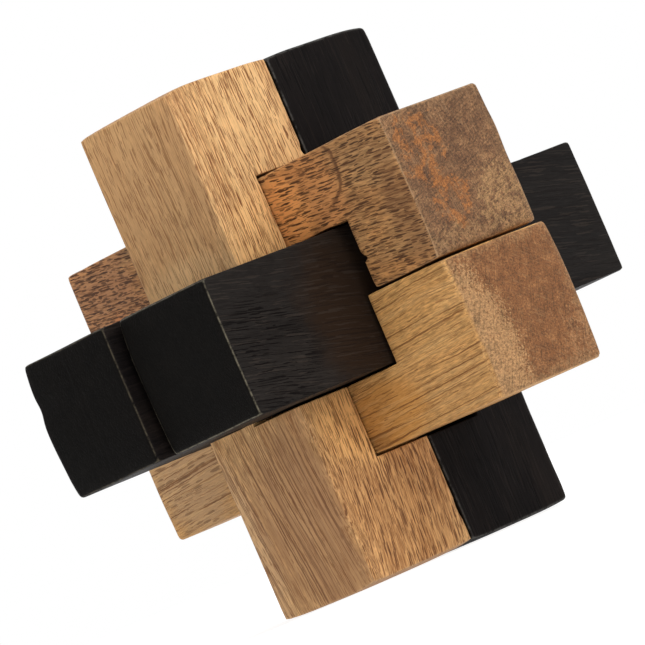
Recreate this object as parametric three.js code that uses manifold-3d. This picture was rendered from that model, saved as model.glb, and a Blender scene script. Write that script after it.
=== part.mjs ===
// Six-piece wooden burr puzzle with a solid key.
//
// Six square sticks stand in three crossing pairs, one pair along each axis. The notches interlock at
// the middle, where every cell of the lattice is filled by exactly one stick, so the key, which has no
// notch, is the only stick that can leave the closed puzzle. It slides out along Y, either way.
//
// Millimetres, +Z up. The lattice is a grid of cubes half a stick wide, with its centre where the six
// sticks cross. Sections and notches are written in lattice cells, and real faces stand back from
// those planes by half the clearance.

import * as THREE from 'three';
import { RoundedBoxGeometry } from 'three/addons/geometries/RoundedBoxGeometry.js';
import { mergeVertices } from 'three/addons/utils/BufferGeometryUtils.js';
import Module from 'manifold-3d';

const wasm = await Module();
wasm.setup();

// Driving dimensions, mm
const CELL = 10;              // half of a stick's nominal width
const CLEARANCE = 0.3;        // gap between two neighbouring faces
const EDGE_EASE = 0.6;        // how far the sanded outer edges are rounded over
const EASE_STEPS = 2;
const SUNK = 0.1;             // how far the dark upright has dropped in its play

// Where hand cutting left a plane off the lattice, in cells
const BEAM_TOP = 2.08;        // the upper beam is thick
const BEAM_BOTTOM = -2.03;
const CROSS_OUTER = 1.95;     // the two sticks along Y are planed thin
const REAR_INNER = -0.08;
const WIDE_NOTCH = 2.22;      // the upper beam's notch is cut wide beside the key

const AXES = ['x', 'y', 'z'];

// One entry for each stick.
//   along    the axis that the stick's length lies on
//   ends     where its two ends are on that axis, in mm from the lattice centre
//   section  the cells that it fills on the two other axes
//   notches  boxes of cells cut out of it, an axis left out meaning right across the stick
//   sunk     how far its notches sit below the cells that they are cut for, 0 if left out
const STICKS = {
  light_upright: {
    along: 'z',
    ends: [-36.4, 36.1],
    section: { x: [-1, 1], y: [-2, 0] },
    notches: [
      { y: [-1, 0], z: [BEAM_BOTTOM, BEAM_TOP] },
      { x: [0, 1], y: [-2, -1], z: [-1, 1] },
    ],
    colour: 0xc08f58,
    roughness: 0.55,
  },
  dark_upright: {
    along: 'z',
    ends: [-36.4, 36.1],
    section: { x: [-1, 1], y: [0, 2] },
    notches: [
      { y: [0, 1], z: [BEAM_BOTTOM, BEAM_TOP] },
      { x: [0, 1], y: [1, 2], z: [-1, 1] },
    ],
    sunk: SUNK,
    colour: 0x1d1a19,
    roughness: 0.5,
  },
  upper_beam: {
    along: 'x',
    ends: [-35.8, 36.1],
    section: { y: [-1, 1], z: [0, BEAM_TOP] },
    notches: [
      { x: [-2, -1], z: [0, 1] },
      { x: [0, WIDE_NOTCH], z: [0, 1] },
    ],
    colour: 0x8c5f3a,
    roughness: 0.6,
  },
  lower_beam: {
    along: 'x',
    ends: [-36, 37.9],
    section: { y: [-1, 1], z: [BEAM_BOTTOM, 0] },
    notches: [
      { x: [-2, -1], z: [-1, 0] },
      { x: [0, 2], z: [-1, 0] },
    ],
    colour: 0xb98a4c,
    roughness: 0.6,
  },
  rear_dark_stick: {
    along: 'y',
    ends: [-37.3, 36],
    section: { x: [-CROSS_OUTER, REAR_INNER], z: [-1, 1] },
    notches: [
      { x: [-1, 0], y: [-2, 2] },
    ],
    colour: 0x1b1717,
    roughness: 0.5,
  },
  key_stick: {
    along: 'y',
    ends: [-35.3, 38.7],
    section: { x: [0, CROSS_OUTER], z: [-1, 1] },
    notches: [],
    colour: 0x231d1c,
    roughness: 0.5,
  },
};

// A range of cells in mm, its two ends moved outwards by grow.
function inMillimetres([low, high], grow) {
  return [low * CELL - grow, high * CELL + grow];
}

function span([low, high]) {
  return high - low;
}

function middle([low, high]) {
  return (low + high) / 2;
}

// The box {x: [low, high], y: ..., z: ...} that a stick fills before it is notched.
function stickBox({ along, ends, section }) {
  const box = { [along]: ends };
  for (const [axis, cells] of Object.entries(section)) {
    box[axis] = inMillimetres(cells, -CLEARANCE / 2);
  }
  return box;
}

// The box that a notch takes away.
function notchBox(notch, { section, sunk = 0 }) {
  const box = {};
  for (const axis of AXES) {
    box[axis] = inMillimetres(notch[axis] ?? section[axis], CLEARANCE / 2);
  }
  box.z = box.z.map((height) => height - sunk);
  return box;
}

// Only positions count for a solid, so the seams that normals and texture coordinates make are merged.
function toSolid(geometry) {
  geometry.deleteAttribute('normal');
  geometry.deleteAttribute('uv');
  const merged = mergeVertices(geometry);
  return new wasm.Manifold(new wasm.Mesh({
    numProp: 3,
    vertProperties: new Float32Array(merged.attributes.position.array),
    triVerts: new Uint32Array(merged.index.array),
  }));
}

function toGeometry(solid) {
  const { vertProperties, triVerts } = solid.getMesh();
  const geometry = new THREE.BufferGeometry();
  geometry.setAttribute('position', new THREE.BufferAttribute(vertProperties, 3));
  geometry.setIndex(new THREE.BufferAttribute(triVerts, 1));
  geometry.computeVertexNormals();
  return geometry;
}

function boxGeometry(box) {
  const geometry = new THREE.BoxGeometry(...AXES.map((axis) => span(box[axis])));
  geometry.translate(...AXES.map((axis) => middle(box[axis])));
  return geometry;
}

function easedBoxGeometry(box) {
  const sizes = AXES.map((axis) => span(box[axis]));
  const geometry = new RoundedBoxGeometry(...sizes, EASE_STEPS, EDGE_EASE);
  geometry.translate(...AXES.map((axis) => middle(box[axis])));
  return geometry;
}

function stickMesh(name, stick) {
  let solid = toSolid(easedBoxGeometry(stickBox(stick)));
  for (const notch of stick.notches) {
    solid = solid.subtract(toSolid(boxGeometry(notchBox(notch, stick))));
  }
  const material = new THREE.MeshStandardMaterial({
    color: stick.colour,
    roughness: stick.roughness,
    metalness: 0,
  });
  const mesh = new THREE.Mesh(toGeometry(solid), material);
  mesh.name = name;
  return mesh;
}

// The origin is the bottom centre of the box around all six sticks, so the lattice centre stands
// above it by the uprights' lower reach, and off to the side by the sticks' uneven ends.
function latticeCentre() {
  const boxes = Object.values(STICKS).map(stickBox);
  const overall = AXES.map((axis) => [
    Math.min(...boxes.map((box) => box[axis][0])),
    Math.max(...boxes.map((box) => box[axis][1])),
  ]);
  return new THREE.Vector3(-middle(overall[0]), -middle(overall[1]), -overall[2][0]);
}

const burr = new THREE.Group();
for (const [name, stick] of Object.entries(STICKS)) {
  burr.add(stickMesh(name, stick));
}
burr.position.copy(latticeCentre());

export default burr;
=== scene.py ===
"""Looks of the wooden burr puzzle: six hand-cut sticks of different woods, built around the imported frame.

Every stick is rebuilt from the planes of its own CAD node as a fine closed mesh, with rubbed edges, crowned
ends, chips and saw marks. Each gets a solid wood that is worked out in three dimensions, so that the pores
run as dashes along a side and show as dots on an end.
"""
import math

import bpy
import numpy as np
from mathutils import Matrix, Vector
from mathutils.bvhtree import BVHTree


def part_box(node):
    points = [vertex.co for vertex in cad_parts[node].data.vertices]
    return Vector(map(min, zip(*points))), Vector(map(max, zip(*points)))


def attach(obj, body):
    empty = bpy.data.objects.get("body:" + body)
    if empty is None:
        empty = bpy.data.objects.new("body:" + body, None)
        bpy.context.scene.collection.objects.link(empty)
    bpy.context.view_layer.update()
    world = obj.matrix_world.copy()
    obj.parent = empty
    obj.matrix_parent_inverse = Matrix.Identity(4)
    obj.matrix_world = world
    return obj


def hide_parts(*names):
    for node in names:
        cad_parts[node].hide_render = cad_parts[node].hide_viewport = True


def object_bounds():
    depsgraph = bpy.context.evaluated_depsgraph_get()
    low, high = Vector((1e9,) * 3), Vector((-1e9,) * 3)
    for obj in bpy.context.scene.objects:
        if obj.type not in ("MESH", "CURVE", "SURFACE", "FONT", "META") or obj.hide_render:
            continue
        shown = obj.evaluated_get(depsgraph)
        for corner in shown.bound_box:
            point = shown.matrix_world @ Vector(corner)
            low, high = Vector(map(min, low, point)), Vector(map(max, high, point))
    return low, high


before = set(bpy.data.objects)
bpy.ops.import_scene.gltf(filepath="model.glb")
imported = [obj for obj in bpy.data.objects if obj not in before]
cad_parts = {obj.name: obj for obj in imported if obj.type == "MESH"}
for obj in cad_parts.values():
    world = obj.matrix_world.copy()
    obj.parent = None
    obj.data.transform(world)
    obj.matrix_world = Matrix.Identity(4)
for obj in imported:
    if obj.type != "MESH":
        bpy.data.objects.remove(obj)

CAD_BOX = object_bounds()
MM = 0.001

# ---------------------------------------------------------------- the puzzle's own measures

AXES = "xyz"
UPRIGHTS = ("light_upright", "dark_upright")
BEAMS = ("lower_beam", "upper_beam")


def lattice_centre():
    """Where the six sticks cross: between the two uprights in Y and the two beams in Z."""
    front, back = (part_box(name) for name in UPRIGHTS)
    below, above = (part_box(name) for name in BEAMS)
    clearance = back[0].y - front[1].y
    return Vector((
        (front[0].x + front[1].x) / 2,
        (front[1].y + back[0].y) / 2,
        below[1].z + clearance / 2,
    ))


CENTRE = lattice_centre()

# ---------------------------------------------------------------- smooth seeded irregularity

WAVES = 24                    # how many plane waves make up a random field
WAVE_SPREAD = (0.5, 1.2)      # and how far their pitches spread


def waves(points, seed, size):
    """A smooth random field from -1 to 1 or so, whose bumps are about size across, at points in metres."""
    rng = np.random.default_rng(seed)
    way = rng.normal(size=(WAVES, 3))
    way /= np.linalg.norm(way, axis=1)[:, None]
    pitch = 2 * math.pi / size * rng.uniform(*WAVE_SPREAD, WAVES)
    phase = rng.uniform(0, 2 * math.pi, WAVES)
    return np.cos(points @ (way * pitch[:, None]).T + phase).sum(1) / math.sqrt(WAVES)


def smooth_step(low, high, value):
    t = np.clip((value - low) / (high - low), 0, 1)
    return t * t * (3 - 2 * t)


# ---------------------------------------------------------------- stick meshes

FLAT_AREA = 6 * MM * MM       # a smaller CAD face belongs to an eased edge
STEP = 0.5 * MM               # spacing of the mesh away from edges
EDGE_ROUND = 0.75 * MM        # radius of the rubbed outer edges
EDGE_RINGS = (0.2, 0.45, 0.7, 1.0)
LONG_SHARE = 0.55             # how much of a stick's rounding its long edges get
NOTCH_SHARE = 0.25            # how much of the full rounding the notches' edges get
NOTCH_WEAR = 0.1              # and how much of the worn edges' colour, with its painted highlight
WORN_END = 1.2 * MM           # how far the wear of an end reaches along the long edges
ROUNDED_END = 2.5 * MM        # and how far its rounding does
SANDING_DIP, SANDING_SIZE = 0.08 * MM, 14 * MM
END_ROUND = 0.12 * MM         # how far every end is rounded off towards each side
SAW_DEPTH, SAW_PITCH = 0.03 * MM, 1.3 * MM
SAW_CENTRE = (-45 * MM, 14 * MM)  # what the saw's arcs run about, from an end's low corner
NICKS, NICK_DEPTH = 9, 0.3 * MM


def face_planes(mesh):
    """Where a CAD node's flat faces lie on each axis, in order: its sides, ends and notch walls."""
    planes = [set(), set(), set()]
    for face in mesh.polygons:
        for k in range(3):
            if abs(face.normal[k]) > 0.9999 and face.area > FLAT_AREA:
                planes[k].add(round(face.center[k], 5))
    return [np.array(sorted(p)) for p in planes]


def solid_cells(mesh, planes):
    """For each cell between those planes, whether it is wood."""
    tree = BVHTree.FromPolygons([v.co for v in mesh.vertices], [list(p.vertices) for p in mesh.polygons])
    way = Vector((0.31, 0.17, 0.93)).normalized()
    mids = [(p[1:] + p[:-1]) / 2 for p in planes]
    solid = np.zeros([len(m) for m in mids], bool)
    for index in np.ndindex(*solid.shape):
        start = Vector([mids[k][index[k]] for k in range(3)])
        crossings = 0
        hit = tree.ray_cast(start, way)
        while hit[0] is not None:
            crossings += 1
            hit = tree.ray_cast(hit[0] + way * 1e-7, way)
        solid[index] = crossings % 2 == 1
    return solid


def fine_lines(planes):
    """Mesh lines between the planes, crowded towards each for its rounded edge, and each line's cell."""
    lines, cells = [planes[0]], []
    for index, (low, high) in enumerate(zip(planes[:-1], planes[1:])):
        rings = np.array(EDGE_RINGS) * min(EDGE_ROUND, (high - low) / 3)
        inner_low, inner_high = low + rings[-1], high - rings[-1]
        count = max(1, round((inner_high - inner_low) / STEP))
        inner = np.linspace(inner_low, inner_high, count + 1)
        part = np.concatenate([low + rings[:-1], inner, high - rings[:-1][::-1], [high]])
        lines.extend(part)
        cells.extend([index] * len(part))
    return np.array(lines), np.array(cells)


def surface_grid(planes, solid):
    """The boundary of the wood as points and outward quads."""
    lines, cells = zip(*(fine_lines(p) for p in planes))
    fine = solid[np.ix_(*cells)]
    shape = [len(line) for line in lines]
    padded = np.pad(fine, 1)
    quads = []
    for k in range(3):
        a, b = [(1, 2), (2, 0), (0, 1)][k]
        below = [slice(1, -1)] * 3
        above = [slice(1, -1)] * 3
        below[k], above[k] = slice(0, -1), slice(1, None)
        wood_below, wood_above = padded[tuple(below)], padded[tuple(above)]
        for faces, outward in ((wood_below & ~wood_above, 1), (~wood_below & wood_above, -1)):
            at = np.argwhere(faces)
            corners = []
            for da, db in ((0, 0), (1, 0), (1, 1), (0, 1))[::outward]:
                corner = at.copy()
                corner[:, a] += da
                corner[:, b] += db
                corners.append(np.ravel_multi_index(corner.T, shape))
            quads.append(np.stack(corners, 1))
    quads = np.concatenate(quads)
    used, quads = np.unique(quads, return_inverse=True)
    where = np.unravel_index(used, shape)
    points = np.stack([lines[k][where[k]] for k in range(3)], 1)
    return points, quads.reshape(-1, 4)


def shrunken_boxes(planes, solid, radius):
    """The wood less a skin of that thickness, as boxes (low corners, high corners)."""
    core = solid
    for k in range(3):
        core = np.moveaxis(core, k, 0)
        spread = np.zeros((2 * len(core) + 1,) + core.shape[1:], bool)
        spread[1::2] = core
        spread[2:-1:2] = core[1:] & core[:-1]
        core = np.moveaxis(spread, 0, k)
    edges = [np.sort(np.concatenate([p - radius, p + radius])) for p in planes]
    at = np.argwhere(core)
    low = np.stack([edges[k][at[:, k]] for k in range(3)], 1)
    high = np.stack([edges[k][at[:, k] + 1] for k in range(3)], 1)
    return low, high


def nearest_core(points, low, high):
    """For each point, the nearest point of the boxes."""
    best = np.full(len(points), np.inf)
    nearest = points.copy()
    for a, b in zip(low, high):
        candidate = np.clip(points, a, b)
        distance = ((candidate - points) ** 2).sum(1)
        closer = distance < best
        best[closer] = distance[closer]
        nearest[closer] = candidate[closer]
    return nearest


class Stick:
    """One stick as arrays of points, with what its shaping and its wood need to know at each point."""

    def __init__(self, name, seed, ease, long_wear_and_highlight):
        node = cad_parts[name]
        self.name, self.seed = name, seed
        self.planes = face_planes(node.data)
        self.solid = solid_cells(node.data, self.planes)
        self.points, self.quads = surface_grid(self.planes, self.solid)
        self.low, self.high = (np.array(c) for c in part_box(name))
        size = self.high - self.low
        self.along = int(np.argmax(size))
        self.across = [k for k in range(3) if k != self.along]
        self.flat = self.points.copy()
        self.round_edges(ease)
        self.edge *= long_wear_and_highlight + (1 - long_wear_and_highlight) * self.near_end(WORN_END)

    def near_end(self, reach):
        return np.maximum(self.beside(self.along, 0, reach), self.beside(self.along, 1, reach))

    def beside(self, axis, side, reach):
        """1 on one of the stick's outer faces, falling to 0 at that reach from it."""
        edge = (self.low, self.high)[side][axis]
        return 1 - smooth_step(0, reach, np.abs(self.flat[:, axis] - edge))

    def round_edges(self, ease):
        """Rounds every edge, the outer ones more, and keeps how near each point is to an edge."""
        core = nearest_core(self.flat, *shrunken_boxes(self.planes, self.solid, EDGE_ROUND))
        out = self.flat - core
        length = np.linalg.norm(out, axis=1)
        self.normal_out = out / length[:, None]
        rounded = core + self.normal_out * EDGE_ROUND
        outer = [np.maximum(self.beside(k, 0, EDGE_ROUND), self.beside(k, 1, EDGE_ROUND)) for k in range(3)]
        on_outer_edge = np.sort(np.stack(outer), axis=0)[-2]
        rubbed = ease * (0.8 + 0.2 * waves(self.flat, self.seed + 1, 7 * MM))
        rubbed *= LONG_SHARE + (1 - LONG_SHARE) * self.near_end(ROUNDED_END)
        share = NOTCH_SHARE + (np.clip(rubbed, 0.2, 1.0) - NOTCH_SHARE) * on_outer_edge
        self.points = self.flat + (rounded - self.flat) * share[:, None]
        sharpness = np.clip((length / EDGE_ROUND - 1) / (math.sqrt(2) - 1), 0, 1)
        self.edge = sharpness * (NOTCH_WEAR + (1 - NOTCH_WEAR) * on_outer_edge)

    def lateral(self, axis):
        """Where each point is across the stick, from -1 to 1."""
        low, high = self.low[axis], self.high[axis]
        return (2 * self.flat[:, axis] - low - high) / (high - low)

    def lower_end(self, side, fall):
        """Takes that much off one end, from the points on it and less and less from those behind it."""
        inward = 1 if side == 0 else -1
        self.points[:, self.along] += inward * fall * self.beside(self.along, side, 6 * MM)

    def crown(self, side, axis, low, high, power=4):
        """Rounds one end off towards the two sides of a lateral axis, by low and by high at the edges."""
        u = self.lateral(axis)
        self.lower_end(side, low * np.maximum(-u, 0) ** power + high * np.maximum(u, 0) ** power)

    def bow_out(self, side, axis, toward, amount):
        """Lets the middle of one end stand proud, most at the edge towards -1 or 1 on a lateral axis."""
        other = next(k for k in self.across if k != axis)
        bulge = (1 + toward * self.lateral(axis)) / 2 * (1 - np.abs(self.lateral(other)) ** 2.2)
        self.lower_end(side, -amount * bulge)

    def dent_end(self, side, centre, radius, depth):
        """A shallow dent in one end."""
        off = (self.flat - np.array(centre)) / np.array(radius)
        off[:, self.along] = 0
        self.lower_end(side, depth * np.exp(-(off ** 2).sum(1)))

    def swell(self, axis, side, amount, low, high):
        """Leaves one long face proud by that much between two corners of a box."""
        inside = np.all((self.flat > low) & (self.flat < high), axis=1)
        outward = -1 if side == 0 else 1
        self.points[:, axis] += outward * amount * inside * self.beside(axis, side, 0.2 * MM)

    def undulate(self, amount, size):
        """Leaves the long faces a little uneven, always inwards, as hand sanding does."""
        for k in self.across:
            for side, inward in ((0, 1), (1, -1)):
                dip = 0.5 + 0.5 * np.clip(waves(self.flat, self.seed + 11 + 2 * k + side, size), -1, 1)
                self.points[:, k] += inward * amount * dip * self.beside(k, side, 1.2 * MM)

    def saw_ends(self, amount, pitch):
        """Faint arcs that the saw left across the ends."""
        a, b = self.across
        u = self.flat[:, a] - SAW_CENTRE[0] - self.low[a]
        v = self.flat[:, b] - SAW_CENTRE[1] - self.low[b]
        wobble = waves(self.flat, self.seed + 31, 8 * MM)
        ripple = 0.5 + 0.5 * np.sin(2 * math.pi * np.hypot(u, v) / pitch + wobble)
        for side, inward in ((0, 1), (1, -1)):
            on_end = self.beside(self.along, side, 0.3 * MM)
            self.points[:, self.along] += inward * amount * ripple * on_end

    def chip(self, centre, radius, depth):
        """Breaks a small bite out of the wood about a point, pushed in along the rounded surface."""
        distance = np.linalg.norm((self.flat - np.array(centre)) / np.array(radius), axis=1)
        torn = 0.8 + 0.3 * waves(self.flat, self.seed + 41, 0.8 * MM)
        bite = (1 - smooth_step(0.35, 1.0, distance)) * torn
        self.points -= self.normal_out * (depth * bite)[:, None]

    def nibble_edges(self, count, depth):
        """Small dents along the outer long edges."""
        rng = np.random.default_rng(self.seed + 51)
        a, b = self.across
        for _ in range(count):
            centre = np.empty(3)
            centre[self.along] = rng.uniform(self.low[self.along], self.high[self.along])
            centre[a] = (self.low, self.high)[rng.integers(2)][a]
            centre[b] = (self.low, self.high)[rng.integers(2)][b]
            radius = np.full(3, 0.9 * MM)
            radius[self.along] = rng.uniform(0.6, 1.8) * MM
            self.chip(centre, radius, depth * rng.uniform(0.4, 1.0))

    def build(self):
        """The stick as a smooth-shaded object that stands for its CAD node."""
        mesh = bpy.data.meshes.new(self.name + "_wood")
        mesh.from_pydata([], [], [])
        mesh.vertices.add(len(self.points))
        mesh.vertices.foreach_set("co", self.points.astype(np.float32).ravel())
        mesh.loops.add(self.quads.size)
        mesh.loops.foreach_set("vertex_index", self.quads.astype(np.int32).ravel())
        mesh.polygons.add(len(self.quads))
        mesh.polygons.foreach_set("loop_start", np.arange(0, self.quads.size, 4, dtype=np.int32))
        mesh.update(calc_edges=True)
        mesh.polygons.foreach_set("use_smooth", np.ones(len(self.quads), bool))
        rim = np.maximum(*(np.abs(self.lateral(k)) for k in self.across))
        # The edge attribute marks both the worn edges and where a highlight is painted on the dark woods'
        # edges
        for name, values in (("edge_wear_and_highlight", self.edge), ("end_rim", rim)):
            mesh.attributes.new(name, "FLOAT", "POINT").data.foreach_set("value", values.astype(np.float32))
        piece = bpy.data.objects.new(self.name + "_wood", mesh)
        bpy.context.scene.collection.objects.link(piece)
        return piece


# ---------------------------------------------------------------- shader helpers


class Nodes:
    """Short calls for making and joining shader nodes in one material."""

    def __init__(self, name):
        self.material = bpy.data.materials.new(name)
        self.material.use_nodes = True
        self.tree = self.material.node_tree
        self.tree.nodes.clear()

    def put(self, socket, value):
        if isinstance(value, bpy.types.NodeSocket):
            self.tree.links.new(value, socket)
        elif value is not None:
            socket.default_value = value

    def add(self, kind, inputs=(), **settings):
        node = self.tree.nodes.new("ShaderNode" + kind)
        for key, value in settings.items():
            setattr(node, key, value)
        for key, value in dict(inputs).items():
            self.put(node.inputs[key], value)
        return node

    def math(self, operation, a, b=None, clamp=False):
        node = self.add("Math", operation=operation, use_clamp=clamp)
        self.put(node.inputs[0], a)
        self.put(node.inputs[1], b)
        return node.outputs[0]

    def vector(self, operation, a, b=None, out="Vector"):
        node = self.add("VectorMath", operation=operation)
        self.put(node.inputs[0], a)
        self.put(node.inputs[1], b)
        return node.outputs[out]

    def step(self, value, low, high, to_low=0.0, to_high=1.0):
        """value mapped smoothly from low..high to to_low..to_high."""
        node = self.add("MapRange", interpolation_type="SMOOTHSTEP")
        for key, number in zip(range(5), (value, low, high, to_low, to_high)):
            self.put(node.inputs[key], number)
        return node.outputs[0]

    def noise(self, vector, detail, rough):
        inputs = {"Vector": vector, "Scale": 1.0, "Detail": detail, "Roughness": rough}
        return self.add("TexNoise", inputs).outputs["Fac"]

    def cells(self, vector, randomness):
        inputs = {"Vector": vector, "Scale": 1.0, "Randomness": randomness}
        node = self.add("TexVoronoi", inputs, feature="F1", distance="EUCLIDEAN")
        return node.outputs["Distance"], node.outputs["Color"]

    def mix(self, factor, a, b, blend="MIX"):
        node = self.add("Mix", data_type="RGBA", blend_type=blend, clamp_factor=True)
        self.put(node.inputs[0], factor)
        self.put(node.inputs[6], a)
        self.put(node.inputs[7], b)
        return node.outputs[2]

    def tint(self, base, mask, share, colour):
        """base, mixed with that share of a colour where the mask is 1."""
        return self.mix(self.math("MULTIPLY", mask, share), base, colour)

    def lumps(self, place, per_mm, detail, rough):
        """A noise of that many lumps to the millimetre."""
        return self.noise(self.vector("MULTIPLY", place, (per_mm,) * 3), detail, rough)

    def about_zero(self, value, amount):
        """A noise from 0 to 1 made into one about zero, and that much wide."""
        return self.math("MULTIPLY", self.math("SUBTRACT", value, 0.5), amount)

    def stray(self, vector):
        """A smooth random shift about zero."""
        node = self.add("TexNoise", {"Vector": vector, "Scale": 1.0, "Detail": 2.0})
        return self.vector("SUBTRACT", node.outputs["Color"], (0.5, 0.5, 0.5))

    def finish(self, shader):
        self.tree.links.new(shader.outputs[0], self.add("OutputMaterial").inputs["Surface"])

    def ramp(self, factor, stops):
        node = self.add("ValToRGB")
        self.put(node.inputs[0], factor)
        bands = node.color_ramp.elements
        while len(bands) < len(stops):
            bands.new(0.5)
        for band, (place, colour) in zip(bands, stops):
            band.position = place
            band.color = colour
        return node.outputs[0]


def tone(red, green, blue):
    """A colour given as screen values from 0 to 255, as the shader's linear colour."""
    linear = [((c / 255 + 0.055) / 1.055) ** 2.4 if c > 10 else c / 255 / 12.92 for c in (red, green, blue)]
    return (*linear, 1.0)


# ---------------------------------------------------------------- wood

# Sizes in millimetres across and along the grain
DRIFT = (14, 40)              # of the slow wandering of the whole figure
UNREST = (0.5, 1.4)           # of the small wavering that keeps the marks from being straight
FIBRE = (0.5, 24)
FINE = (0.19, 1.8)

UNREST_SHIFT = (0.25, 0.25, 1.0)
SEED_STEP = (37.0, -19.0, 53.0)   # from one stick's place in the figure to the next one's
MARK_STEP = (13.7, -7.3, 29.1)    # and from one of its marks to the next
HOOP_WOBBLE = 1.6
TORN = 3.5                    # how ragged the spots on the ends are
TORN_BORDER = (0.38, 0.68)
END_FACING = (0.5, 0.8)       # how squarely a face has to look along the grain to be an end
RELIEF_DEPTH = 0.12 * MM

GRAIN = {
    "x": Matrix(((0, 1, 0), (0, 0, 1), (1, 0, 0))),
    "y": Matrix(((0, 0, 1), (1, 0, 0), (0, 1, 0))),
    "z": Matrix.Identity(3),
}


def grain_space(n, place, along, tilt, bends, heart):
    """Coordinates in millimetres from the log's heart with Z along the grain, which leans by tilt degrees.

    Each bend (side, depth, across, slope, curve) makes the grain lean and curve further in the skin of
    one side: from depth millimetres along the direction side outwards, across is the axis it shifts on.
    """
    turn = Matrix.Rotation(math.radians(tilt[0]), 3, "X") @ Matrix.Rotation(math.radians(tilt[1]), 3, "Y")
    rows = [n.vector("DOT_PRODUCT", place, tuple(row), out="Value") for row in turn @ GRAIN[along]]
    joined = n.add("CombineXYZ", {0: rows[0], 1: rows[1], 2: rows[2]}).outputs[0]
    for side, depth, across, slope, curve in bends:
        skin = n.step(n.vector("DOT_PRODUCT", place, side, out="Value"), depth, depth + 1.0)
        lean = n.math("ADD", slope, n.math("MULTIPLY", rows[2], curve / 2))
        shift = n.math("MULTIPLY", n.math("MULTIPLY", lean, rows[2]), skin)
        joined = n.vector("ADD", joined, n.add("CombineXYZ", {across: shift}).outputs[0])
    return n.vector("ADD", joined, (*heart, 0.0))


def stretched(n, space, across, along):
    """The grain space divided so that a unit cell is along long and across wide, or a pair of widths."""
    wide, deep = across if isinstance(across, tuple) else (across, across)
    return n.vector("MULTIPLY", space, (1 / wide, 1 / deep, 1 / along))


def times(n, colour, factor):
    return n.mix(1.0, colour, n.add("CombineXYZ", {0: factor, 1: factor, 2: factor}).outputs[0], "MULTIPLY")


def region(n, place, centre, radius, ragged, grit):
    """1 inside an ellipsoid given in millimetres from the lattice centre, with a ragged border."""
    off = n.vector("MULTIPLY", n.vector("SUBTRACT", place, centre), tuple(1 / r for r in radius))
    distance = n.vector("LENGTH", off, out="Value")
    frayed = n.about_zero(n.lumps(place, 1 / grit, 6.0, 0.75), 2 * ragged)
    return n.step(n.math("ADD", distance, frayed), 1.25, 0.65)


def hoop(n, place, centre, radius, width):
    """1 on a dark growth line that shows as an arc on the side of a stick along X."""
    off = n.vector("MULTIPLY", n.vector("SUBTRACT", place, centre), (1.0, 0.25, 1.0))
    wobble = n.math("MULTIPLY", n.lumps(place, 0.5, 3.0, 0.6), HOOP_WOBBLE)
    distance = n.math("ADD", n.vector("LENGTH", off, out="Value"), wobble)
    off_line = n.math("ABSOLUTE", n.math("SUBTRACT", distance, radius + HOOP_WOBBLE / 2))
    return n.step(off_line, width, width * 0.2)


def elsewhere(n, space, index):
    """The grain space moved, so that the marks of a look don't fall on each other."""
    return n.vector("ADD", space, tuple(index * step for step in MARK_STEP))


def pores(n, space, across, length, width, share, index):
    """Separate pores: long cells with that pitch across and along, each open for that part of its pitch."""
    moved = elsewhere(n, space, index)
    distance, colour = n.cells(stretched(n, moved, across, length), 0.95)
    chance = n.add("SeparateColor", {0: colour}).outputs[0]
    return n.math("MULTIPLY", n.step(distance, width, width * 0.8), n.step(chance, share, share - 0.08))


def streaks(n, space, across, length, low, high, index):
    """Soft streaks about that wide and long, where a stretched noise runs from low to high."""
    moved = elsewhere(n, space, index)
    return n.step(n.noise(stretched(n, moved, across, length), 0.6, 0.5), low, high)


def scratches(n, space, turn, across, length, low, high):
    """Fine straight scratches across an end, turned by that many degrees."""
    c, s = math.cos(math.radians(turn)), math.sin(math.radians(turn))
    u = n.vector("DOT_PRODUCT", space, (c, s, 0.0), out="Value")
    v = n.vector("DOT_PRODUCT", space, (-s, c, 0.0), out="Value")
    flat = n.add("CombineXYZ", {0: n.math("DIVIDE", u, across), 1: n.math("DIVIDE", v, length)}).outputs[0]
    return n.step(n.noise(flat, 2.0, 0.6), low, high)


def side_figure(n, space, shift, warped, look):
    """The colour of the plain wood, with the fibres and the fine grain, which also shape the relief."""
    cloud = n.noise(stretched(n, warped, *look["cloud"]), 3.0, 0.55)
    fibre = n.noise(stretched(n, warped, *FIBRE), 3.0, 0.6)
    fine = n.noise(stretched(n, warped, *FINE), 2.0, 0.7)
    ring_place = n.vector("ADD", space, n.vector("MULTIPLY", shift, (look["wander"] * 2,) * 3))
    radius = n.vector("LENGTH", n.vector("MULTIPLY", ring_place, (1.0, 1.0, 0.0)), out="Value")
    ring = n.math("FRACT", n.math("DIVIDE", radius, look["ring"]))
    late = n.math("MULTIPLY", n.step(ring, 0.35, 0.95), n.step(ring, 1.0, 0.95))
    base = n.ramp(cloud, look["colours"])
    base = n.tint(base, late, look["ring_share"], look["ring_colour"])
    base = n.tint(base, n.step(fibre, 0.3, 0.72), look["streak"], look["streak_colour"])
    base = times(n, base, n.step(fine, 0.25, 0.75, 1 - look["fine"], 1 + look["fine"]))
    return base, fibre, fine


def local_colours(n, place, base, look):
    """The places where this stick's colour or figure differs, and where light or shade is painted into its
    colour.
    """
    for centre, size, ragged, grit, share, colour in look["side_spots"]:
        base = n.tint(base, region(n, place, centre, size, ragged, grit), share, colour)
    for centre, size, width, where, share, colour in look["hoops"]:
        arc = n.math("MULTIPLY", hoop(n, place, centre, size, width), region(n, place, *where, 0.2, 3.0))
        base = n.tint(base, arc, share, colour)
    return base


def cut_marks(n, place, space, base, look):
    """Pores and lines, cut by the surface along the grain. It also gives where they are open."""
    open_cells = 0.0
    for index, (kind, numbers, share, colour, where) in enumerate(look["marks"]):
        mark = kind(n, space, *numbers, index)
        if where:
            mark = n.math("MULTIPLY", mark, region(n, place, *where, 0.3, 3.0))
        base = n.tint(base, mark, share, colour)
        open_cells = n.math("MAXIMUM", open_cells, mark)
    return base, open_cells


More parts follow.
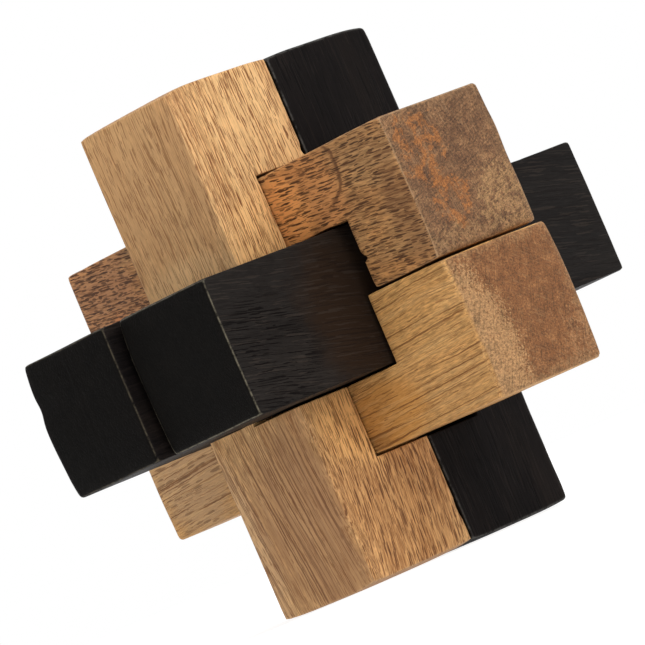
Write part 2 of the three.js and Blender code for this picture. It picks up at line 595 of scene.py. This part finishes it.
def end_figure(n, place, space, look):
    """The colour of the ends: blotched, flecked and scratched by sanding. It also gives the scratches."""
    blotch = n.noise(n.vector("MULTIPLY", space, (0.5, 0.5, 0.05)), 6.0, 0.78)
    base = n.ramp(blotch, look["end_colours"])
    for centre, size, ragged, grit, fill, share, colour in look["end_spots"]:
        torn = n.about_zero(n.lumps(place, 1 / grit, 6.0, 0.7), TORN)
        inside = region(n, place, centre, size, ragged, 3.0)
        here = n.step(n.math("ADD", torn, n.math("MULTIPLY", inside, fill)), *TORN_BORDER)
        here = n.math("MULTIPLY", here, n.step(inside, 0.0, 0.3))
        base = n.tint(base, here, share, colour)
    frayed = n.about_zero(n.lumps(space, 0.9, 5.0, 0.7), 0.8)
    rim = n.math("ADD", n.add("Attribute", attribute_name="end_rim").outputs["Fac"], frayed)
    base = n.tint(base, n.step(rim, look["rim_width"], 1.05), look["rim"], look["rim_colour"])
    speck = n.noise(n.vector("MULTIPLY", space, (3.2, 3.2, 0.4)), 4.0, 0.9)
    speckle = look["end_speck"]
    base = times(n, base, n.step(speck, 0.32, 0.68, 1 - speckle, 1 + speckle))
    base = n.tint(base, n.step(speck, 0.60, 0.70), look["fleck"], look["fleck_colour"])
    turn = look["scratch_turn"]
    sawn = scratches(n, space, turn - 80, 0.22, 5.0, 0.45, 0.75)
    base = times(n, base, n.math("SUBTRACT", 1.0, n.math("MULTIPLY", sawn, speckle * 0.7)))
    scratched = n.math("MAXIMUM", scratches(n, space, turn, 0.2, 4.0, 0.56, 0.72),
                       scratches(n, space, turn - 60, 0.18, 3.0, 0.60, 0.76))
    base = n.tint(base, scratched, look["scratch"], look["scratch_colour"])
    return base, scratched


def wood(name, along, seed, look):
    """A solid wood. look holds its colours, its figure and how much of each mark shows."""
    n = Nodes(name)
    place = n.vector("SUBTRACT", n.add("TexCoord").outputs["Object"], tuple(CENTRE))
    place = n.vector("MULTIPLY", place, (1 / MM,) * 3)
    space = grain_space(n, place, along, look["tilt"], look["bends"], look["heart"])
    shift = n.stray(stretched(n, space, *DRIFT))
    warped = n.vector("ADD", space, n.vector("MULTIPLY", shift, (look["wander"],) * 3))
    warped = n.vector("ADD", warped, tuple(seed * step for step in SEED_STEP))
    unrest = n.vector("MULTIPLY", n.stray(stretched(n, warped, *UNREST)), UNREST_SHIFT)
    uneven = n.vector("ADD", warped, unrest)

    base, fibre, fine = side_figure(n, space, shift, warped, look)
    base = local_colours(n, place, base, look)
    base, open_cells = cut_marks(n, place, uneven, base, look)
    end_base, scratched = end_figure(n, place, space, look)
    normal = n.add("NewGeometry").outputs["Normal"]
    axis = tuple(float(letter == along) for letter in AXES)
    end = n.step(n.math("ABSOLUTE", n.vector("DOT_PRODUCT", normal, axis, out="Value")), *END_FACING)
    base = n.tint(base, end, look["end_share"], end_base)

    # Rubbed edges: the worn colour, which on the dark woods is partly a painted highlight of the rounded
    # edges
    wear = n.add("Attribute", attribute_name="edge_wear_and_highlight").outputs["Fac"]
    patchy = n.step(n.lumps(place, 1.3, 4.0, 0.65), 0.30, 0.62)
    rubbed = n.math("MULTIPLY", n.step(wear, look["rub_and_highlight_from"], 0.95), patchy)
    base = n.tint(base, rubbed, look["rub_and_highlight"], look["rub_and_highlight_colour"])

    # Relief and sheen
    height = n.math("ADD", n.math("MULTIPLY", fine, 0.3), n.math("MULTIPLY", fibre, 0.25))
    height = n.math("SUBTRACT", height, n.math("MULTIPLY", open_cells, 0.7))
    height = n.math("SUBTRACT", height, n.math("MULTIPLY", n.math("MULTIPLY", scratched, end), 0.25))
    bump = n.add("Bump", {"Strength": look["relief"], "Distance": RELIEF_DEPTH, "Height": height})
    rough = n.step(fibre, 0.2, 0.8, look["rough"] - 0.06, look["rough"] + 0.08)
    rough = n.math("ADD", rough, n.math("MULTIPLY", n.math("MAXIMUM", open_cells, end), 0.08))
    rough = n.math("SUBTRACT", rough, n.math("MULTIPLY", n.step(wear, 0.2, 0.9), 0.12), clamp=True)
    shader = n.add("BsdfPrincipled", {
        "Base Color": base,
        "Roughness": rough,
        "Specular IOR Level": look["shine"],
        "Normal": bump.outputs[0],
    })
    n.finish(shader)
    return n.material


RIGHT_FACE, FRONT_FACE = 10.2, -20.2  # just outside the light upright's +X and -Y faces, from the centre
FACE_SKIN = 0.9               # how deep a region in the skin of one of them reaches


def on_right(y, z, wide, high):
    """A region, as (centre, radii), in the skin of the light upright's +X face."""
    return (RIGHT_FACE, y, z), (FACE_SKIN, wide, high)


def on_front(x, z, wide, high):
    """The same in the skin of its -Y face."""
    return (x, FRONT_FACE, z), (wide, FACE_SKIN, high)


# A look holds, in millimetres and shares:
#   tilt, bends, heart    how the grain lies, as grain_space takes them
#   wander, cloud, ring   how far the figure strays, and the sizes of its colour changes and growth rings
#   colours, end_colours  the sides' and the ends' stops from dark to light
#   fine, streak          how strong the fine grain and the fibres are
#   marks                 (kind, its numbers, share, colour, None or (centre, radii) of where they are)
#   side_spots            (centre, radii, raggedness, size of its grit, share, colour); some are painted light or shade
#   hoops                 (centre, radius, line width, (centre, radii) of where it shows, share, colour)
#   end_spots             as side_spots, with how full of the colour the middle is before the share
#   rim, fleck, scratch   on the ends: the paler rim, the light flecks and the sanding scratches
#   rub_and_highlight, rub_and_highlight_from  the worn edges' share, partly a painted highlight on the dark
#   woods, and the sharpness of edge from which they show
PALE = {
    "tilt": (1.0, 0.5), "heart": (70.0, 26.0), "wander": 3.0, "ring": 5.2, "cloud": (8.0, 40.0),
    "bends": (((0, -1, 0), 18.0, 0, 0.051, -0.0022), ((1, 0, 0), 8.0, 1, -0.048, 0.0018)),
    "colours": ((0.30, tone(192, 145, 96)), (0.50, tone(208, 163, 110)), (0.72, tone(226, 183, 125))),
    "streak": 0.30, "streak_colour": tone(182, 134, 84),
    "ring_share": 0.22, "ring_colour": tone(190, 136, 78), "fine": 0.40,
    "marks": (
        (streaks, (1.10, 60.0, 0.54, 0.60), 0.45, tone(240, 196, 138), on_right(-9, 22, 15, 26)),
        (pores, (0.28, 4.0, 0.28, 0.7), 0.65, tone(110, 64, 30), None),
        (streaks, (0.20, 5.0, 0.59, 0.65), 0.60, tone(126, 76, 38), None),
        (pores, (0.26, 4.0, 0.34, 0.9), 0.90, tone(110, 58, 24), on_right(-9, 24, 15, 26)),
        (streaks, ((2.0, 0.28), 34.0, 0.61, 0.65), 0.80, tone(132, 74, 30), on_right(-9, 24, 15, 26)),
        (streaks, (0.22, 12.0, 0.48, 0.62), 0.35, tone(134, 82, 40), on_right(-10, -26, 18, 20)),
        (pores, (0.30, 3.4, 0.36, 1.0), 0.70, tone(108, 62, 30), on_right(-10, -26, 18, 20)),
        (pores, (0.37, 4.4, 0.35, 1.0), 0.80, tone(90, 50, 24), on_right(-10, -26, 18, 20)),
        (streaks, ((0.22, 2.0), 40.0, 0.58, 0.63), 0.72, tone(104, 62, 36), on_front(-1, -24, 14, 18)),
        (streaks, (1.60, 50.0, 0.50, 0.60), 0.35, tone(146, 106, 72), on_front(-1, -24, 14, 18)),
        (streaks, ((0.20, 2.0), 30.0, 0.60, 0.64), 0.60, tone(124, 82, 44), on_front(5, 14, 8, 26)),
    ),
    "side_spots": (
        # The lower +X face darker and redder: partly the wood's own colour, partly painted shade under the
        # sticks above
        (*on_right(-10, -26, 13, 17), 0.3, 4.0, 0.45, tone(196, 140, 82)),
        (*on_right(-6, 25, 9, 12), 0.3, 4.0, 0.50, tone(230, 186, 130)),
        # Painted light: the +X face made lighter in the corners beside the two beams, where they shade it
        (*on_right(-11, 13, 10, 7), 0.3, 4.0, 0.70, tone(244, 194, 130)),
        (*on_right(-11, -15, 8, 7), 0.3, 4.0, 0.70, tone(246, 188, 118)),
        # The lower -Y face darker: partly the wood's own colour, partly painted shade under the sticks above
        (*on_front(3, -26, 12, 19), 0.3, 4.0, 0.80, tone(168, 124, 82)),
        (*on_front(-10, -26, 3.6, 17), 0.4, 4.0, 0.50, tone(206, 166, 124)),
        # Painted shade: the upper -Y face darkened as the side turned away from the key light
        (*on_front(0, 26, 16, 15), 0.3, 6.0, 0.70, tone(180, 138, 92)),
        # Painted light: the -Y face made lighter just above the key stick, where it shades the face
        (*on_front(0, 10, 13, 5), 0.3, 4.0, 0.60, tone(226, 184, 132)),
    ),
    "hoops": (),
    "end_colours": ((0.35, tone(146, 106, 70)), (0.65, tone(176, 134, 92))),
    "end_spots": (),
    "end_speck": 0.30, "end_share": 0.85, "rim": 0.1, "rim_width": 0.72, "rim_colour": tone(206, 166, 120),
    "fleck": 0.2, "fleck_colour": tone(214, 180, 136),
    "scratch": 0.25, "scratch_turn": 20, "scratch_colour": tone(214, 178, 132),
    "rub_and_highlight": 0.25, "rub_and_highlight_from": 0.3, "rub_and_highlight_colour": tone(214, 178, 130),
    "relief": 0.65, "rough": 0.55, "shine": 0.25,
}
GOLDEN = {
    **PALE,
    "tilt": (2.3, 1.0), "bends": (), "heart": (38.0, 60.0), "wander": 4.0, "ring": 7.0,
    "cloud": (8.0, 26.0),
    "colours": ((0.30, tone(172, 128, 76)), (0.52, tone(188, 142, 85)), (0.74, tone(200, 157, 102))),
    "streak": 0.35, "streak_colour": tone(176, 124, 68),
    "marks": (
        (streaks, ((2.0, 0.25), 34.0, 0.63, 0.66), 0.80, tone(108, 66, 30), None),
        (streaks, (0.18, 10.0, 0.62, 0.68), 0.45, tone(130, 82, 42), None),
        (streaks, (0.50, 40.0, 0.55, 0.62), 0.15, tone(226, 184, 126), None),
        (pores, (0.32, 8.0, 0.22, 0.35), 0.70, tone(108, 66, 32), None),
        (pores, (0.48, 4.0, 0.34, 0.8), 0.65, tone(104, 72, 44), ((-28.0, -10.0, -10.0), (9.0, 4.0, 12.0))),
    ),
    "side_spots": (
        ((-28.0, -10.0, -10.0), (9.0, 3.0, 12.0), 0.3, 4.0, 0.75, tone(166, 132, 96)),
        ((15.0, -10.0, -16.0), (8.0, 1.5, 5.0), 0.3, 4.0, 0.60, tone(186, 126, 56)),
        # Darker in the small corner beside the upright, at the bottom edge
        ((11.0, -10.0, -18.8), (2.4, 1.5, 1.0), 0.5, 1.5, 0.35, tone(110, 82, 50)),
    ),
    "end_colours": ((0.34, tone(98, 60, 33)), (0.50, tone(121, 77, 44)), (0.66, tone(144, 98, 60))),
    "end_spots": (
        ((38.0, -12.5, -15.0), (5.0, 9.0, 17.0), 0.3, 0.35, 0.90, 0.70, tone(178, 138, 94)),
        ((38.0, 8.5, -17.0), (5.0, 5.0, 6.0), 0.4, 0.5, 0.50, 0.6, tone(158, 116, 78)),
    ),
    "end_speck": 0.60, "end_share": 0.97, "rim": 0.5, "rim_width": 0.80, "rim_colour": tone(160, 124, 84),
    "scratch": 0.25, "scratch_turn": 55, "scratch_colour": tone(178, 144, 104), "rub_and_highlight": 0.04,
    "fleck": 0.55, "fleck_colour": tone(176, 138, 96),
}
BROWN = {
    **PALE,
    "tilt": (-5.5, 1.0), "bends": (), "heart": (9.0, 30.0), "wander": 3.0, "ring": 9.0,
    "cloud": (6.0, 14.0),
    "colours": ((0.30, tone(152, 116, 77)), (0.48, tone(171, 129, 83)), (0.66, tone(193, 137, 81))),
    "streak": 0.3, "streak_colour": tone(132, 92, 56),
    "ring_share": 0.25, "ring_colour": tone(120, 76, 42), "fine": 0.34,
    "marks": (
        (pores, (0.34, 3.3, 0.38, 1.0), 0.92, tone(62, 36, 19), None),
        (pores, (0.24, 2.4, 0.40, 0.9), 0.75, tone(78, 46, 24), None),
        (streaks, (0.18, 3.0, 0.55, 0.64), 0.50, tone(98, 62, 36), None),
        (pores, (0.40, 1.2, 0.42, 0.9), 0.75, tone(70, 44, 30), ((-30.0, -10.0, 10.0), (9.0, 4.0, 12.0))),
        (streaks, (0.4, 5.0, 0.50, 0.60), 0.40, tone(92, 56, 30), ((34.0, -10.0, 12.0), (3.0, 2.0, 7.0))),
    ),
    "side_spots": (
        ((17.0, -10.0, 15.0), (7.5, 1.6, 7.0), 0.35, 3.0, 0.65, tone(196, 130, 74)),
        # Painted light: the -Y face made lighter beside the upright, where the upright and the key stick
        # shade it
        ((11.5, -10.0, 14.0), (5.0, 1.6, 6.0), 0.35, 3.0, 0.75, tone(240, 166, 96)),
        ((33.5, -10.0, 8.0), (3.0, 1.6, 8.0), 0.40, 3.0, 0.50, tone(134, 94, 60)),
        ((-30.0, -10.0, 12.0), (9.0, 4.0, 12.0), 0.8, 3.0, 0.55, tone(170, 116, 80)),
        ((-28.0, -10.0, 8.0), (5.0, 3.0, 4.0), 1.2, 2.5, 0.6, tone(192, 116, 66)),
    ),
    "hoops": (
        ((19.6, -10.0, 17.5), 5.1, 0.55, ((24.5, -10.0, 16.5), (5.0, 4.0, 6.5)), 0.75, tone(86, 50, 28)),
    ),
    "end_colours": ((0.34, tone(86, 58, 39)), (0.50, tone(112, 79, 53)), (0.66, tone(143, 105, 71))),
    "end_spots": (
        ((36.0, -5.0, 14.5), (5.0, 4.6, 6.6), 0.8, 1.8, 0.52, 0.75, tone(158, 98, 48)),
        ((36.0, -3.5, 7.0), (5.0, 3.6, 4.6), 0.8, 1.6, 0.52, 0.75, tone(158, 98, 48)),
        ((36.0, 6.5, 4.0), (5.0, 6.0, 6.5), 0.6, 1.0, 0.60, 0.60, tone(170, 132, 88)),
        ((36.0, -4.0, 1.0), (5.0, 7.0, 3.0), 0.6, 1.0, 0.60, 0.5, tone(160, 124, 84)),
    ),
    "end_speck": 0.70, "end_share": 0.97, "rim": 0.25, "rim_width": 0.72, "rim_colour": tone(146, 114, 80),
    "scratch": 0.4, "scratch_turn": 8, "scratch_colour": tone(160, 128, 94),
    "fleck": 0.45, "fleck_colour": tone(162, 128, 90),
    "rub_and_highlight": 0.45, "rub_and_highlight_colour": tone(196, 160, 118),
}
BLACK = {
    **PALE,
    "tilt": (1.0, 1.0), "bends": (), "heart": (30.0, 20.0), "wander": 3.0, "ring": 6.0,
    "cloud": (8.0, 30.0),
    "colours": ((0.30, tone(18, 15, 15)), (0.55, tone(24, 20, 19)), (0.80, tone(32, 26, 23))),
    "streak": 0.5, "streak_colour": tone(14, 12, 12),
    "ring_share": 0.2, "ring_colour": tone(12, 10, 10), "fine": 0.2,
    "marks": (
        (streaks, (0.30, 8.0, 0.56, 0.68), 0.5, tone(8, 7, 7), None),
        (streaks, (0.30, 12.0, 0.60, 0.72), 0.22, tone(48, 40, 36), None),
    ),
    "side_spots": (),
    "end_colours": ((0.35, tone(8, 7, 6)), (0.65, tone(13, 11, 9))),
    "end_speck": 0.15, "end_share": 0.95, "rim": 0.1, "rim_colour": tone(30, 26, 24),
    "scratch": 0.10, "scratch_turn": 60, "scratch_colour": tone(40, 36, 32),
    "fleck": 0.05, "fleck_colour": tone(30, 26, 24),
    # Paler edges, partly wear and partly a painted highlight of the rounded edges
    "rub_and_highlight": 0.5, "rub_and_highlight_colour": tone(96, 88, 72),
    "relief": 0.4, "rough": 0.50, "shine": 0.05,
}
DARK_BROWN = {
    **BLACK,
    "tilt": (1.0, 11.0),
    "colours": ((0.30, tone(28, 26, 25)), (0.55, tone(35, 32, 30)), (0.80, tone(43, 39, 36))),
    "streak": 0.3, "streak_colour": tone(24, 20, 18),
    "marks": (
        (streaks, (0.26, 9.0, 0.54, 0.66), 0.35, tone(18, 14, 13), None),
        (streaks, (0.22, 7.0, 0.58, 0.68), 0.30, tone(62, 54, 48), None),
        (streaks, (0.18, 6.0, 0.56, 0.62), 0.85, tone(6, 4, 4), ((19.5, -29.0, -3.0), (3.0, 9.0, 9.0))),
    ),
    "side_spots": (
        ((19.5, -12.0, -1.0), (3.0, 9.0, 12.0), 0.4, 4.0, 0.85, tone(40, 28, 19)),
        ((19.5, 6.0, 0.0), (3.0, 14.0, 14.0), 0.3, 4.0, 0.75, tone(42, 30, 20)),
    ),
    # Paler edges, partly wear and partly a painted highlight
    "rub_and_highlight_colour": tone(140, 132, 112),
}
# Its grey edges are mostly a painted highlight, where the rounded edges catch the light, and a little wear
EBONY = {**BLACK, "rub_and_highlight": 0.55, "rub_and_highlight_from": 0.05, "rub_and_highlight_colour": tone(100, 98, 94)}

# ---------------------------------------------------------------- the six sticks


def off_centre(x, y, z):
    """A point given in millimetres from the lattice centre."""
    return CENTRE + Vector((x, y, z)) * MM


def shape_light_upright(stick):
    stick.crown(0, 0, 0.1 * MM, 0.3 * MM)
    stick.crown(1, 1, 0.5 * MM, 0.1 * MM)
    for height, depth in ((-15, 0.35), (-22, 0.25), (-29, 0.4)):
        stick.chip(off_centre(10, -20, height), (1.5 * MM, 1.5 * MM, 3.5 * MM), depth * MM)


def shape_dark_upright(stick):
    stick.crown(1, 1, 0.1 * MM, 0.4 * MM)
    stick.crown(0, 1, 0.1 * MM, 0.1 * MM)


def shape_upper_beam(stick):
    stick.crown(1, 2, 0.2 * MM, 0.1 * MM)
    stick.chip(off_centre(22.4, -10, 4.5), (0.9 * MM, 1.2 * MM, 0.6 * MM), 0.7 * MM)


def shape_lower_beam(stick):
    stick.crown(1, 1, 1.3 * MM, 0.3 * MM, 5)
    stick.crown(1, 2, 0.3 * MM, 0.2 * MM)
    stick.swell(2, 0, 0.26 * MM, off_centre(-9, -9, -21), off_centre(9, -1, -19))


def shape_rear_dark_stick(stick):
    stick.bow_out(0, 0, -1, 0.7 * MM)
    stick.dent_end(0, off_centre(-19.5, 0, 3.2), (5 * MM, 1 * MM, 1.6 * MM), 0.35 * MM)


def shape_key_stick(stick):
    stick.bow_out(0, 0, -1, 0.35 * MM)


# name: grain axis, seed, look, record slot, how rounded its edges are, how worn its long edges look and how
# much painted highlight they get, shaping
STICKS = {
    "light_upright": ("z", 1, PALE, "blond_wood", 0.32, 0.8, shape_light_upright),
    "dark_upright": ("z", 2, EBONY, "black_wood", 0.8, 1.0, shape_dark_upright),
    "upper_beam": ("x", 3, BROWN, "brown_wood", 0.85, 0.7, shape_upper_beam),
    "lower_beam": ("x", 4, GOLDEN, "golden_wood", 0.75, 0.5, shape_lower_beam),
    "rear_dark_stick": ("y", 5, BLACK, "black_wood", 0.8, 0.3, shape_rear_dark_stick),
    "key_stick": ("y", 6, DARK_BROWN, "dark_brown_wood", 0.8, 0.12, shape_key_stick),
}


def make_stick(name):
    along, seed, look, slot, ease, long_wear_and_highlight, shape = STICKS[name]
    stick = Stick(name, 100 * seed, ease, long_wear_and_highlight)
    stick.undulate(SANDING_DIP, SANDING_SIZE)
    for side in (0, 1):
        for axis in stick.across:
            stick.crown(side, axis, END_ROUND, END_ROUND)
    shape(stick)
    stick.saw_ends(SAW_DEPTH, SAW_PITCH)
    stick.nibble_edges(NICKS, NICK_DEPTH)
    piece = stick.build()
    piece.data.materials.append(wood(name + "_grain", along, seed, look))
    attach(piece, name)
    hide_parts(name)


# ---------------------------------------------------------------- floor, light and camera

VIEW_AZIMUTH, VIEW_ELEVATION, VIEW_ROLL = 47.39, -2.07, 23.33
VIEW_DISTANCE = 0.7646
AIM = CENTRE + Vector((-0.33, -0.34, -0.38)) * MM
SENSOR, LENS = 36.0, 309.0
BACKDROP_EDGE = (0.25, 0.6)   # cosine of the angle from the backdrop's middle, from its dim edge inwards
WORLD_LIGHT = (0.15, 0.9)     # brightness of the studio and of the backdrop
FLOOR_REACH = 12.0
FLOOR_GREY, FLOOR_GLOW = 0.3, 0.8  # it glows, so that it looks white and its shadows stay soft


def direction(azimuth, elevation):
    """From the object towards that direction. Azimuth 0 is towards -Y and 90 towards +X, in degrees."""
    a, e = math.radians(azimuth), math.radians(elevation)
    return Vector((math.sin(a) * math.cos(e), -math.cos(a) * math.cos(e), math.sin(e)))


def make_camera():
    back = direction(VIEW_AZIMUTH, VIEW_ELEVATION)
    data = bpy.data.cameras.new("view")
    data.sensor_width = SENSOR
    data.lens = LENS
    data.clip_start, data.clip_end = 0.05, 50.0
    camera = bpy.data.objects.new("view", data)
    camera.location = AIM + back * VIEW_DISTANCE
    level = back.to_track_quat("Z", "Y").to_matrix()
    camera.rotation_euler = (level @ Matrix.Rotation(-math.radians(VIEW_ROLL), 3, "Z")).to_euler()
    bpy.context.scene.collection.objects.link(camera)
    bpy.context.scene.camera = camera


def make_floor():
    n = Nodes("pale_floor")
    n.finish(n.add("BsdfPrincipled", {
        "Base Color": (FLOOR_GREY, FLOOR_GREY, FLOOR_GREY, 1),
        "Roughness": 0.9,
        "Specular IOR Level": 0.1,
        "Emission Color": (1, 1, 1, 1),
        "Emission Strength": FLOOR_GLOW,
    }))
    corners = [(x * FLOOR_REACH, y * FLOOR_REACH, 0) for x, y in ((-1, -1), (1, -1), (1, 1), (-1, 1))]
    mesh = bpy.data.meshes.new("floor")
    mesh.from_pydata(corners, [], [(0, 1, 2, 3)])
    mesh.materials.append(n.material)
    floor = bpy.data.objects.new("floor", mesh)
    floor.location.z = CAD_BOX[0].z
    bpy.context.scene.collection.objects.link(floor)


def sun(name, azimuth, elevation, strength, softness):
    """A far soft light. A white face that looks straight at it sends back strength, with 1 as white."""
    data = bpy.data.lights.new(name, "SUN")
    data.energy = strength * math.pi
    data.angle = math.radians(softness)
    light = bpy.data.objects.new(name, data)
    light.rotation_euler = direction(azimuth, elevation).to_track_quat("Z", "Y").to_euler()
    bpy.context.scene.collection.objects.link(light)


def make_world():
    """A dim studio with a bright white backdrop behind the puzzle, which the camera sees as plain white."""
    world = bpy.data.worlds.new("studio")
    world.use_nodes = True
    tree = world.node_tree
    tree.nodes.clear()
    way = tree.nodes.new("ShaderNodeTexCoord")
    facing = tree.nodes.new("ShaderNodeVectorMath")
    facing.operation = "DOT_PRODUCT"
    facing.inputs[1].default_value = -direction(VIEW_AZIMUTH, VIEW_ELEVATION)
    glow = tree.nodes.new("ShaderNodeMapRange")
    glow.interpolation_type = "SMOOTHSTEP"
    for key, value in zip(range(1, 5), (*BACKDROP_EDGE, *WORLD_LIGHT)):
        glow.inputs[key].default_value = value
    lit = tree.nodes.new("ShaderNodeBackground")
    seen = tree.nodes.new("ShaderNodeBackground")
    for background in (lit, seen):
        background.inputs["Color"].default_value = (1, 1, 1, 1)
    path = tree.nodes.new("ShaderNodeLightPath")
    join = tree.nodes.new("ShaderNodeMixShader")
    output = tree.nodes.new("ShaderNodeOutputWorld")
    tree.links.new(way.outputs["Generated"], facing.inputs[0])
    tree.links.new(facing.outputs["Value"], glow.inputs[0])
    tree.links.new(glow.outputs[0], lit.inputs["Strength"])
    tree.links.new(path.outputs["Is Camera Ray"], join.inputs[0])
    tree.links.new(lit.outputs[0], join.inputs[1])
    tree.links.new(seen.outputs[0], join.inputs[2])
    tree.links.new(join.outputs[0], output.inputs["Surface"])
    bpy.context.scene.world = world


for stick_name in STICKS:
    make_stick(stick_name)
make_camera()
make_floor()
make_world()
sun("key", azimuth=95, elevation=38, strength=0.68, softness=60)
sun("fill", azimuth=-5, elevation=20, strength=0.24, softness=80)
sun("top", azimuth=40, elevation=80, strength=0.58, softness=60)
bpy.context.scene.view_settings.view_transform = "Standard"
